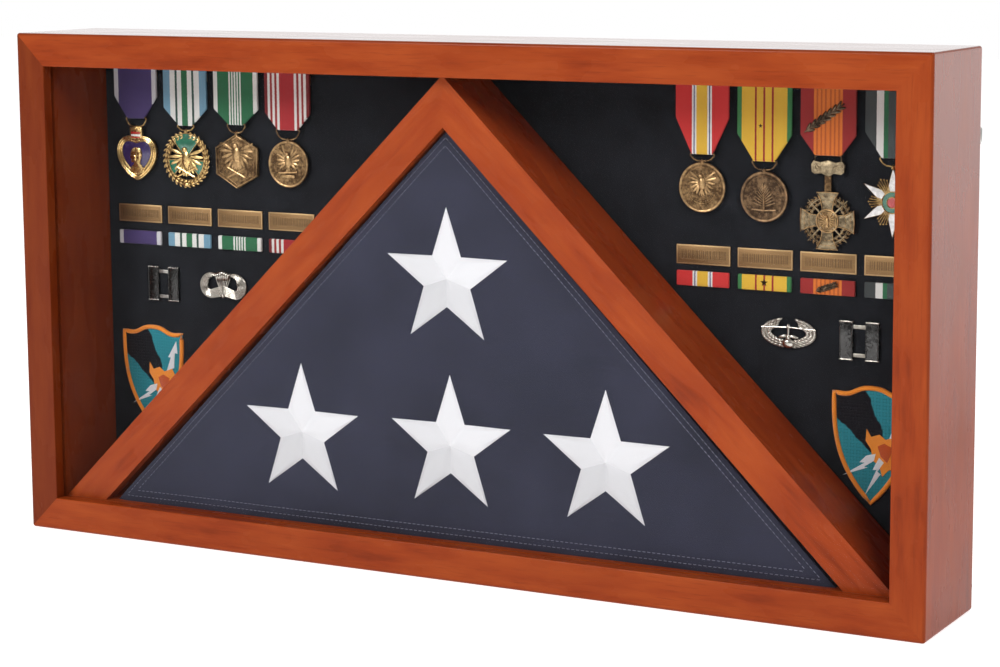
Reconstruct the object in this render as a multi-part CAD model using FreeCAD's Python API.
import FreeCAD, Part
import math
import os

# Folded flag display case: a mitred wooden box with a glazed front, two sloping
# dividers round a folded flag, and a felt-covered back that carries medals.
# Millimetres. Origin: centre of the underside. X right, Y towards the back, Z up.

# Case boards
case_width = 660.0
case_height = 346.0
case_depth = 87.0
board = 22.5
divider_board = 23.5
edge_ease = 2.0
inner_ease = 0.8

# Depths, counted from the front face of the case
groove_front = 8.0
groove_rear = 11.0
glass_front = 8.25
glass_thickness = 2.5
groove_depth = 6.0
glass_tuck = 5.0
divider_front = 12.3
divider_rear = 65.0
flag_front = 15.0
flag_rear = 64.0
felt_face = 67.0
felt_thickness = 1.5
pin_board_thickness = 12.2
rabbet_front = 80.8
rabbet_width = 10.0
plywood_thickness = 6.0
panel_gap = 0.6
hem_depth = 64.2

# Dividers and flag
divider_wall_gap = 1.2
apex_rise = 0.7
flag_half_base = 268.5
flag_apex = 289.2
flag_corner = 1.0

# Medal columns
left_column = -151.5
left_spacing = -42.3
right_column = 157.0
right_spacing = 42.0
ribbon_half_width = 18.0
ribbon_top = 320.5
ribbon_thickness = 1.4
hem_radius = 1.4
hem_bore = 0.9
wire_radius = 0.65
pendant_thickness = 2.4
bar_length = 36.0
bar_height = 9.6
bar_thickness = 2.2
plate_length = 37.0
plate_height = 12.4
plate_thickness = 1.0
left_plate_height = 217.5
right_plate_height = 212.5
left_bar_height = 200.5
right_bar_height = 197.5

# Badges and patches
badge_thickness = 2.2
wing_width = 38.0
wing_height = 20.0
bars_width = 26.0
bars_height = 24.5
left_bars_at = (-259.4, 168.5)
left_wing_at = (-208.5, 171.0)
right_wing_at = (215.5, 167.5)
right_bars_at = (262.0, 165.5)
patch_across = 270.5
patch_foot = 63.5
patch_thickness = 1.3

# Fittings on the back
fitting_inset = 6.25
button_radius = 4.6
button_long = 20.0
button_short = 3.0
button_thickness = 1.2
screw_radius = 1.9
screw_head_radius = 3.4
screw_head = 2.0
screw_depth = 14.0
screw_play = 0.1
button_lift = 0.1
button_across = (-200.0, 0.0, 200.0)
eye_height = 296.0
eye_radius = 2.3
eye_bore = 1.1
eye_half_width = 3.4
ring_wire = 1.0
ring_half_width = 5.0
ring_side = 6.0
strap_half_width = 4.5
strap_thickness = 1.0
strap_drop = 42.0
strap_holes = (23.0, 36.0)
bumper_radius = 5.0
bumper_thickness = 4.0
bumper_height = 14.0

# Screws that hold the dividers from below
foot_screw_across = 290.0
foot_screw_depths = (26.0, 52.0)
foot_screw_top = 35.0
foot_head_radius = 4.0
foot_head_top = 3.4
foot_head_recess = 0.4

front = -case_depth / 2
back = case_depth / 2
half_width = case_width / 2
inside_half = half_width - board
floor_height = board
ceiling_height = case_height - board
hem_y = front + hem_depth
felt_y = front + felt_face


def vector(x, y, z):
    return FreeCAD.Vector(x, y, z)


def block(x_low, x_high, y_low, y_high, z_low, z_high):
    return Part.makeBox(x_high - x_low, y_high - y_low, z_high - z_low, vector(x_low, y_low, z_low))


def rod_y(x, z, radius, y_low, y_high):
    return Part.makeCylinder(radius, y_high - y_low, vector(x, y_low, z), vector(0, 1, 0))


def rod_x(x_low, x_high, y, z, radius):
    return Part.makeCylinder(radius, x_high - x_low, vector(x_low, y, z), vector(1, 0, 0))


def wire_run(start, end, radius):
    """A straight piece of wire with a ball at its far end."""
    along = end.sub(start)
    run = Part.makeCylinder(radius, along.Length, start, along)
    return run.fuse(Part.makeSphere(radius, end))


def extrude_outline(edges, y_low, y_high):
    wire = Part.Wire(Part.__sortEdges__(edges))
    face = Part.Face(wire)
    if face.normalAt(0, 0).y < 0:
        face.reverse()
    solid = face.extrude(vector(0, y_high - y_low, 0))
    if solid.Volume < 0:
        solid.reverse()
    return solid


def prism(points, y_low, y_high):
    """A flat plate whose outline, given as (x, z) points, faces the front."""
    corners = [vector(x, y_low, z) for x, z in points]
    loop = Part.makePolygon(corners + corners[:1])
    return Part.Face(loop).extrude(vector(0, y_high - y_low, 0))


def ellipse_plate(x, z, half_long, half_high, y_low, y_high):
    curve = Part.Ellipse(vector(x, y_low, z), half_long, half_high)
    edge = curve.toShape()
    edge.rotate(vector(x, y_low, z), vector(1, 0, 0), 90)
    return Part.Face(Part.Wire([edge])).extrude(vector(0, y_high - y_low, 0))


def star_points(x, z, tips, outer, inner):
    points = []
    for step in range(2 * tips):
        angle = math.pi / 2 + step * math.pi / tips
        reach = inner if step % 2 else outer
        points.append((x + reach * math.cos(angle), z + reach * math.sin(angle)))
    return points


def save(name, shape):
    if not shape.isValid():
        raise ValueError(name + " is not a valid shape")
    shape.exportStep("parts/" + name + ".step")
    print(name, len(shape.Solids), "solid(s)", round(shape.Volume / 1000, 2), "cm3")


def save_group(name, shapes):
    save(name, Part.makeCompound(shapes))


# Case boards ---------------------------------------------------------------


def case_shell():
    outer = block(-half_width, half_width, front, back, 0, case_height)
    outer = outer.makeFillet(edge_ease, outer.Edges)
    hollow = block(-inside_half, inside_half, front - 1, back + 1, floor_height, ceiling_height)
    groove = block(
        -inside_half - groove_depth, inside_half + groove_depth,
        front + groove_front, front + groove_rear,
        floor_height - groove_depth, ceiling_height + groove_depth)
    rabbet = block(
        -inside_half - rabbet_width, inside_half + rabbet_width,
        front + rabbet_front, back + 1,
        floor_height - rabbet_width, ceiling_height + rabbet_width)
    shell = outer.cut(hollow)
    mouth = [edge for edge in shell.Edges if on_front_mouth(edge)]
    shell = shell.makeFillet(inner_ease, mouth)
    return shell.cut(groove).cut(rabbet)


def on_front_mouth(edge):
    middle = edge.CenterOfMass
    inside = abs(middle.x) < inside_half + 0.1 and floor_height - 0.1 < middle.z < ceiling_height + 0.1
    return inside and abs(middle.y - front) < 0.01


def mitre_wedges():
    half_height = case_height / 2
    reach = half_width - half_height
    y_low = front - 1
    y_high = back + 1
    low_left = (-half_width, 0)
    low_right = (half_width, 0)
    high_left = (-half_width, case_height)
    high_right = (half_width, case_height)
    near_left = (-reach, half_height)
    near_right = (reach, half_height)
    return {
        "top_board": prism([high_left, high_right, near_right, near_left], y_low, y_high),
        "bottom_board": prism([low_left, low_right, near_right, near_left], y_low, y_high),
        "left_board": prism([low_left, high_left, near_left], y_low, y_high),
        "right_board": prism([low_right, high_right, near_right], y_low, y_high),
    }


def foot_screw(x, y):
    head = Part.makeCone(
        foot_head_radius, screw_radius, foot_head_top - foot_head_recess, vector(x, y, foot_head_recess))
    shank = Part.makeCylinder(screw_radius, foot_screw_top - foot_head_recess, vector(x, y, foot_head_recess))
    slot = block(x - 0.4, x + 0.4, y - foot_head_radius, y + foot_head_radius, 0, foot_head_recess + 0.8)
    return head.fuse(shank).removeSplitter().cut(slot)


def foot_screw_places():
    return [(side * foot_screw_across, front + depth) for side in (-1, 1) for depth in foot_screw_depths]


def foot_screw_hole(x, y):
    head = Part.makeCone(
        foot_head_radius, screw_radius, foot_head_top - foot_head_recess, vector(x, y, foot_head_recess))
    mouth = Part.makeCylinder(foot_head_radius, foot_head_recess + 1, vector(x, y, -1))
    shank = Part.makeCylinder(screw_radius, foot_screw_top - foot_head_recess, vector(x, y, foot_head_recess))
    return head.fuse(mouth).fuse(shank)


# Turn buttons: pivot (x, z) and the way the parked arm points --------------


def turn_buttons():
    low = fitting_inset
    high = case_height - fitting_inset
    buttons = []
    for count, x in enumerate(button_across, 1):
        buttons.append(("top_turn_button_" + str(count), x, high, 1, 0))
    for count, x in enumerate(button_across, 1):
        buttons.append(("bottom_turn_button_" + str(count), x, low, 1, 0))
    side = half_width - fitting_inset
    buttons.append(("left_turn_button", -side, case_height / 2, 0, 1))
    buttons.append(("right_turn_button", side, case_height / 2, 0, 1))
    return buttons


def button_plate(x, z, along_x, along_z):
    y_low = back + button_lift
    y_high = y_low + button_thickness
    long_x = x + button_long * along_x
    long_z = z + button_long * along_z
    short_x = x - button_short * along_x
    short_z = z - button_short * along_z
    side_x = button_radius * along_z
    side_z = button_radius * along_x
    middle = prism(
        [(short_x - side_x, short_z - side_z), (long_x - side_x, long_z - side_z),
         (long_x + side_x, long_z + side_z), (short_x + side_x, short_z + side_z)], y_low, y_high)
    plate = middle.fuse(rod_y(long_x, long_z, button_radius, y_low, y_high))
    plate = plate.fuse(rod_y(short_x, short_z, button_radius, y_low, y_high)).removeSplitter()
    return plate.cut(rod_y(x, z, screw_radius + screw_play, y_low - 1, y_high + 1))


def rear_screw(x, z, head_base):
    head = rod_y(x, z, screw_head_radius, head_base, head_base + screw_head)
    rim = [edge for edge in head.Edges if abs(edge.CenterOfMass.y - head_base - screw_head) < 0.01]
    head = head.makeFillet(0.8, rim[:1])
    shank = rod_y(x, z, screw_radius, back - screw_depth, head_base + 0.2)
    slot = block(x - 0.45, x + 0.45, head_base + 1.1, head_base + 3, z - 4, z + 4)
    return head.fuse(shank).cut(slot)


def rear_screw_hole(x, z):
    return rod_y(x, z, screw_radius, back - screw_depth, back + 1)


# Hangers ---------------------------------------------------------------------


def hanger_strap(x):
    y_low = back
    strap = block(
        x - strap_half_width, x + strap_half_width, y_low, y_low + strap_thickness,
        eye_height - strap_drop, eye_height)
    corners = [edge for edge in strap.Edges if edge_runs_back(edge) and edge.CenterOfMass.z < eye_height - 1]
    strap = strap.makeFillet(3.0, corners)
    eye = rod_x(x - eye_half_width, x + eye_half_width, y_low + eye_radius, eye_height, eye_radius)
    strap = strap.fuse(eye)
    strap = strap.cut(rod_x(x - 9, x + 9, y_low + eye_radius, eye_height, eye_bore))
    for drop in strap_holes:
        strap = strap.cut(rod_y(x, eye_height - drop, screw_radius + screw_play, y_low - 1, y_low + 3))
    return strap


def edge_runs_back(edge):
    start = edge.Vertexes[0].Point
    end = edge.Vertexes[-1].Point
    return abs(start.y - end.y) > 0.5 * strap_thickness


def hanger_ring(x):
    y = back + eye_radius
    left = vector(x - ring_half_width, y, eye_height)
    right = vector(x + ring_half_width, y, eye_height)
    left_low = vector(x - ring_half_width, y, eye_height - ring_side)
    right_low = vector(x + ring_half_width, y, eye_height - ring_side)
    ring = wire_run(left, right, ring_wire).fuse(Part.makeSphere(ring_wire, left))
    ring = ring.fuse(wire_run(left, left_low, ring_wire)).fuse(wire_run(right, right_low, ring_wire))
    bow = Part.makeTorus(ring_half_width, ring_wire, vector(x, y, eye_height - ring_side), vector(0, 1, 0))
    lower = block(
        x - 9, x + 9, y - 3, y + 3, eye_height - ring_side - 9, eye_height - ring_side)
    return ring.fuse(bow.common(lower)).removeSplitter()


def hanger_screw_places(side):
    x = side * (half_width - fitting_inset)
    return [(x, eye_height - drop) for drop in strap_holes]


def wall_bumper(side):
    x = side * (half_width - fitting_inset)
    pad = rod_y(x, bumper_height, bumper_radius, back, back + bumper_thickness)
    rim = [edge for edge in pad.Edges if abs(edge.CenterOfMass.y - back - bumper_thickness) < 0.01]
    return pad.makeFillet(1.5, rim[:1])


def build_case():
    shell = case_shell()
    boards = {name: shell.common(wedge) for name, wedge in mitre_wedges().items()}
    button_holes = [rear_screw_hole(x, z) for name, x, z, along_x, along_z in turn_buttons()]
    hanger_holes = [rear_screw_hole(x, z) for side in (-1, 1) for x, z in hanger_screw_places(side)]
    foot_holes = [foot_screw_hole(x, y) for x, y in foot_screw_places()]
    drilled = Part.makeCompound(button_holes + hanger_holes + foot_holes)
    for name, piece in boards.items():
        save(name, piece.cut(drilled))
    save("glass_pane", glass_pane())
    for name, side in (("left_divider", -1), ("right_divider", 1)):
        save(name, divider(side).cut(drilled))
    save("folded_flag", folded_flag())
    save_group("divider_screws", [foot_screw(x, y) for x, y in foot_screw_places()])


def glass_pane():
    y_low = front + glass_front
    return block(
        -inside_half - glass_tuck, inside_half + glass_tuck, y_low, y_low + glass_thickness,
        floor_height - glass_tuck, ceiling_height + glass_tuck)


def divider(side):
    """A sloping board from the middle of the ceiling to a lower corner, cut to meet its twin."""
    rise = ceiling_height + apex_rise - floor_height
    slope = math.hypot(rise, inside_half)
    drop = divider_board * slope / inside_half
    inner_foot = inside_half - divider_board * slope / rise
    wall = inside_half - divider_wall_gap
    wall_height = floor_height + rise * (1 - wall / inside_half)
    ceiling_flat = inside_half * apex_rise / rise
    points = [
        (0, floor_height + rise - drop),
        (0, ceiling_height),
        (side * ceiling_flat, ceiling_height),
        (side * wall, wall_height),
        (side * wall, floor_height),
        (side * inner_foot, floor_height),
    ]
    return prism(points, front + divider_front, front + divider_rear)


def folded_flag():
    flag = prism(
        [(-flag_half_base, floor_height), (flag_half_base, floor_height), (0, flag_apex)],
        front + flag_front, front + flag_rear)
    return flag.makeFillet(flag_corner, flag.Edges)


def build_fittings():
    screws = []
    for name, x, z, along_x, along_z in turn_buttons():
        save(name, button_plate(x, z, along_x, along_z))
        screws.append(rear_screw(x, z, back + button_lift + button_thickness + screw_play))
    save_group("turn_button_screws", screws)
    strap_screws = []
    for word, side in (("left", -1), ("right", 1)):
        x = side * (half_width - fitting_inset)
        save(word + "_hanger_strap", hanger_strap(x))
        save(word + "_hanger_ring", hanger_ring(x))
        for screw_x, screw_z in hanger_screw_places(side):
            strap_screws.append(rear_screw(screw_x, screw_z, back + strap_thickness))
    save_group("hanger_screws", strap_screws)
    save_group("wall_bumpers", [wall_bumper(-1), wall_bumper(1)])


# Back panel --------------------------------------------------------------------


def build_back():
    inner_x = inside_half - panel_gap
    low = floor_height + panel_gap
    high = ceiling_height - panel_gap
    pin_front = felt_y + felt_thickness
    pin_rear = pin_front + pin_board_thickness
    save("felt_liner", block(-inner_x, inner_x, felt_y, pin_front, low, high))
    save("pin_board", block(-inner_x, inner_x, pin_front, pin_rear, low, high))
    edge = rabbet_width - panel_gap
    save("plywood_back", block(
        -inside_half - edge, inside_half + edge, front + rabbet_front, front + rabbet_front + plywood_thickness,
        floor_height - edge, ceiling_height + edge))


# Medals: column, hem height, hem half-width, shoulder height -------------------


def column_x(side, place):
    if side == "left":
        return left_column + left_spacing * place
    return right_column + right_spacing * place


medals = {
    "heart": {"side": "left", "place": 3, "hem": 285.2, "tip": 7.6, "shoulder": 300.0},
    "wreath": {"side": "left", "place": 2, "hem": 281.4, "tip": 6.0, "shoulder": 293.0},
    "hexagon": {"side": "left", "place": 1, "hem": 283.4, "tip": 6.4, "shoulder": 293.5},
    "conduct": {"side": "left", "place": 0, "hem": 281.2, "tip": 8.4, "shoulder": 292.0},
    "service": {"side": "right", "place": 0, "hem": 276.8, "tip": 7.2, "shoulder": 299.0},
    "campaign": {"side": "right", "place": 1, "hem": 274.0, "tip": 7.2, "shoulder": 290.0},
    "cross": {"side": "right", "place": 2, "hem": 279.2, "tip": 8.8, "shoulder": 291.0},
    "star": {"side": "right", "place": 3, "hem": 279.2, "tip": 7.6, "shoulder": 294.0},
}


def medal_ribbon(x, medal):
    tip = medal["tip"]
    hem = medal["hem"]
    shoulder = medal["shoulder"]
    y_low = hem_y - ribbon_thickness / 2
    body = prism(
        [(x - ribbon_half_width, ribbon_top), (x + ribbon_half_width, ribbon_top),
         (x + ribbon_half_width, shoulder), (x + tip, hem), (x - tip, hem),
         (x - ribbon_half_width, shoulder)], y_low, y_low + ribbon_thickness)
    ribbon = body.fuse(rod_x(x - tip, x + tip, hem_y, hem, hem_radius))
    return ribbon.cut(rod_x(x - tip - 1, x + tip + 1, hem_y, hem, hem_bore))


def medal_brooch(x):
    y_low = hem_y + ribbon_thickness / 2
    return block(
        x - ribbon_half_width + 1, x + ribbon_half_width - 1, y_low, felt_y, ribbon_top - 9, ribbon_top - 3)


def bail(x, hem, tip, lug):
    """The wire that runs through the ribbon's hem and comes together at the pendant's lug."""
    reach = tip + 1.2
    drop = min(2.6, hem - lug)
    left = vector(x - reach, hem_y, hem)
    right = vector(x + reach, hem_y, hem)
    shape = wire_run(left, right, wire_radius).fuse(Part.makeSphere(wire_radius, left))
    for corner, way in ((left, -1), (right, 1)):
        low = vector(corner.x, hem_y, hem - drop)
        shape = shape.fuse(wire_run(corner, low, wire_radius))
        shape = shape.fuse(wire_run(low, vector(x + way * 0.8, hem_y, lug), wire_radius))
    return shape


def pendant_faces():
    y_low = hem_y - pendant_thickness / 2
    return y_low, y_low + pendant_thickness


def coin(x, z, radius):
    y_low, y_high = pendant_faces()
    face = rod_y(x, z, radius, y_low, y_high)
    return face.cut(rod_y(x, z, radius - 1.3, y_low - 1, y_low + 0.5))


def heart_pendant(x, hem, tip):
    y_low, y_high = pendant_faces()
    half = 17.3
    middle = 261.5
    top = 277.4
    foot = 240.6
    left = vector(x - half, y_low, middle)
    right = vector(x + half, y_low, middle)
    crown = Part.Arc(left, vector(x, y_low, top), right).toShape()
    right_side = Part.Arc(right, vector(x + 11.3, y_low, 249.3), vector(x, y_low, foot)).toShape()
    left_side = Part.Arc(vector(x, y_low, foot), vector(x - 11.3, y_low, 249.3), left).toShape()
    body = extrude_outline([crown, right_side, left_side], y_low, y_high)
    shield = prism(
        [(x - 6.5, 279.0), (x + 6.5, 279.0), (x + 6.5, 272.0), (x, 268.0), (x - 6.5, 272.0)],
        y_low - 0.8, y_high)
    return body.fuse(shield).fuse(bail(x, hem, tip, 279.0))


def wreath_pendant(x, hem, tip):
    return coin(x, 257.2, 19.6).fuse(bail(x, hem, tip, 276.5))


def hexagon_pendant(x, hem, tip):
    y_low, y_high = pendant_faces()
    middle = 257.7
    outline = [(0, 19.0), (17.5, 10.0), (17.5, -10.0), (0, -19.0), (-17.5, -10.0), (-17.5, 10.0)]
    body = prism([(x + across, middle + up) for across, up in outline], y_low, y_high)
    return body.fuse(bail(x, hem, tip, middle + 18.6))


def conduct_pendant(x, hem, tip):
    return coin(x, 257.4, 16.0).fuse(bail(x, hem, tip, 273.2))


def service_pendant(x, hem, tip):
    return coin(x, 255.4, 15.8).fuse(bail(x, hem, tip, 271.0))


def campaign_pendant(x, hem, tip):
    return coin(x, 251.4, 15.8).fuse(bail(x, hem, tip, 267.0))


def cross_pendant(x, hem, tip):
    y_low, y_high = pendant_faces()
    clasp = block(x - 11.6, x + 11.6, y_low, y_high, 265.0, 276.4)
    corners = [edge for edge in clasp.Edges if abs(edge.Vertexes[0].Y - edge.Vertexes[1].Y) > 1]
    clasp = clasp.makeFillet(2.5, corners)
    link = block(x - 2.2, x + 2.2, y_low, y_high, 255.0, 266.0)
    body = coin(x, 238.6, 17.6)
    arms = block(x - 5.6, x + 5.6, y_low, y_high, 220.9, 256.4)
    return body.fuse(arms).fuse(link).fuse(clasp).fuse(bail(x, hem, tip, 275.8))


def star_pendant(x, hem, tip):
    y_low, y_high = pendant_faces()
    middle = 251.8
    rays = prism(star_points(x, middle, 6, 21.7, 10.4), y_low, y_high)
    disc = rod_y(x, middle, 14.8, y_low + 0.6, y_high)
    boss = rod_y(x, middle, 9.0, y_low - 0.6, y_high)
    return rays.fuse(disc).fuse(boss).fuse(bail(x, hem, tip, middle + 21.0))


pendants = {
    "heart": heart_pendant,
    "wreath": wreath_pendant,
    "hexagon": hexagon_pendant,
    "conduct": conduct_pendant,
    "service": service_pendant,
    "campaign": campaign_pendant,
    "cross": cross_pendant,
    "star": star_pendant,
}


def ribbon_bar(x, z):
    return block(
        x - bar_length / 2, x + bar_length / 2, felt_y - bar_thickness, felt_y,
        z - bar_height / 2, z + bar_height / 2)


def name_plate(x, z):
    return block(
        x - plate_length / 2, x + plate_length / 2, felt_y - plate_thickness, felt_y,
        z - plate_height / 2, z + plate_height / 2)


def palm_leaf(x, z, half_long, half_high, y_high, lean):
    leaf = ellipse_plate(x, z, half_long, half_high, y_high - 0.8, y_high)
    leaf.rotate(vector(x, 0, z), vector(0, 1, 0), -lean)
    return leaf


def ribbon_devices():
    """The small star and the palm that are pinned to two of the ribbons and their bars."""
    campaign = column_x("right", 1)
    cross = column_x("right", 2)
    ribbon_face = hem_y - ribbon_thickness / 2
    bar_face = felt_y - bar_thickness
    star_height = 295.0
    palm_height = 301.4
    aside = 2.3
    return [
        prism(star_points(campaign - aside, star_height, 5, 2.8, 1.2), ribbon_face - 0.8, ribbon_face),
        palm_leaf(cross - aside, palm_height, 16.5, 3.2, ribbon_face, 35),
        prism(star_points(campaign, right_bar_height, 5, 2.8, 1.2), bar_face - 0.8, bar_face),
        palm_leaf(cross, right_bar_height, 8.0, 2.0, bar_face, 20),
    ]


def build_medals():
    brooches = []
    plates = []
    for name, medal in medals.items():
        x = column_x(medal["side"], medal["place"])
        on_left = medal["side"] == "left"
        save(name + "_medal_ribbon", medal_ribbon(x, medal))
        save(name + "_pendant", pendants[name](x, medal["hem"], medal["tip"]).removeSplitter())
        save(name + "_ribbon_bar", ribbon_bar(x, left_bar_height if on_left else right_bar_height))
        plates.append(name_plate(x, left_plate_height if on_left else right_plate_height))
        brooches.append(medal_brooch(x))
    save_group("name_plates", plates)
    save_group("medal_brooches", brooches)
    save_group("ribbon_devices", ribbon_devices())


# Badges and patches --------------------------------------------------------------


def double_bar_badge(place):
    x, z = place
    y_low = felt_y - badge_thickness
    bar = 8.8
    badge = block(x - bars_width / 2, x - bars_width / 2 + bar, y_low, felt_y, z - bars_height / 2, z + bars_height / 2)
    badge = badge.fuse(badge.translated(vector(bars_width - bar, 0, 0)))
    for middle in (-8.6, 8.6):
        badge = badge.fuse(block(x - 6, x + 6, y_low + 0.6, felt_y, z + middle - 1.4, z + middle + 1.4))
    return badge


def wing_badge(place):
    """Two wings that curl up into an open ring, with a domed boss where they meet."""
    x, z = place
    y_low = felt_y - badge_thickness
    wings = ellipse_plate(x, z, wing_width / 2, wing_height / 2, y_low, felt_y)
    eye = ellipse_plate(x, z + 3.0, wing_width / 2 - 6.5, wing_height / 2 - 5.0, y_low - 1, felt_y + 1)
    mouth = block(x - 7.5, x + 7.5, y_low - 1, felt_y + 1, z + 4.0, z + wing_height)
    boss = ellipse_plate(x, z - wing_height / 2 + 4.2, 4.0, 3.4, y_low - 0.6, felt_y)
    return wings.cut(eye).cut(mouth).fuse(boss)


def shoulder_patch(side):
    y_high = felt_y
    y_low = y_high - patch_thickness
    x = side * patch_across
    z = patch_foot

    def point(across, up):
        return vector(x + across, y_low, z + up)

    edges = [
        Part.Arc(point(-26.3, 71.0), point(-13.0, 71.2), point(0, 75.0)).toShape(),
        Part.Arc(point(0, 75.0), point(13.0, 71.2), point(26.3, 71.0)).toShape(),
        Part.LineSegment(point(26.3, 71.0), point(26.0, 46.0)).toShape(),
        Part.Arc(point(26.0, 46.0), point(19.4, 20.0), point(0, 0)).toShape(),
        Part.Arc(point(0, 0), point(-19.4, 20.0), point(-26.0, 46.0)).toShape(),
        Part.LineSegment(point(-26.0, 46.0), point(-26.3, 71.0)).toShape(),
    ]
    return extrude_outline(edges, y_low, y_high)


def build_badges():
    save("left_double_bar_badge", double_bar_badge(left_bars_at))
    save("right_double_bar_badge", double_bar_badge(right_bars_at))
    save("left_wing_badge", wing_badge(left_wing_at))
    save("right_wing_badge", wing_badge(right_wing_at))
    save("left_shoulder_patch", shoulder_patch(-1))
    save("right_shoulder_patch", shoulder_patch(1))


def main():
    os.makedirs("parts", exist_ok=True)
    build_case()
    build_fittings()
    build_back()
    build_medals()
    build_badges()


main()
